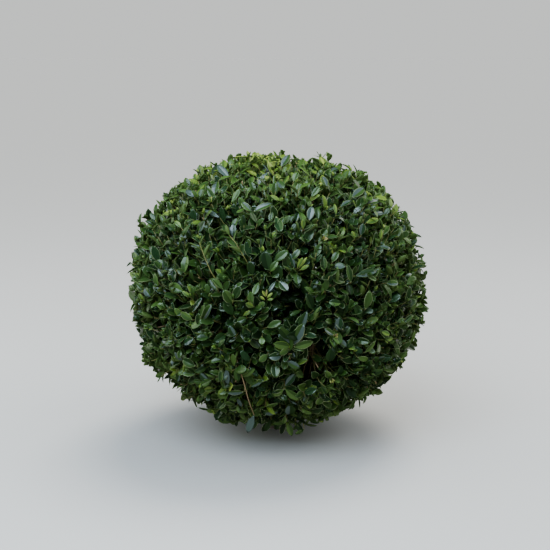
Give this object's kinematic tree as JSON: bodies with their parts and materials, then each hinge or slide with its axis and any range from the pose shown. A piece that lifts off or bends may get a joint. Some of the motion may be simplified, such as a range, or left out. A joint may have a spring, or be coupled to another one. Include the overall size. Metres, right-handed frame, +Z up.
{
  "type": "clipped japanese holly ball shrub, rooted in the ground",
  "caption": "Evergreen shrub clipped to a ball, with small glossy leaves down to the ground and a short trunk with boughs inside.",
  "frame": {"origin": "middle of the flat cut under the trunk, at ground level", "axes": "+Z up along the trunk, -Y towards the viewer of the picture, +X to the viewer's right"},
  "size_m": [0.4954, 0.4956, 0.4681],
  "materials": {
    "bark": "matte grey-brown bark, finely cracked",
    "foliage": "glossy dark green leaves, paler below and along the margin"
  },
  "bodies": {
    "root": {"trunk": "bark", "bough_front": "bark", "bough_front_right": "bark", "bough_back_right": "bark", "bough_back": "bark", "bough_back_left": "bark", "bough_front_left": "bark", "bough_crown": "bark", "foliage_front": "foliage", "foliage_front_right": "foliage", "foliage_back_right": "foliage", "foliage_back": "foliage", "foliage_back_left": "foliage", "foliage_front_left": "foliage", "foliage_crown": "foliage"}
  },
  "joints": []
}
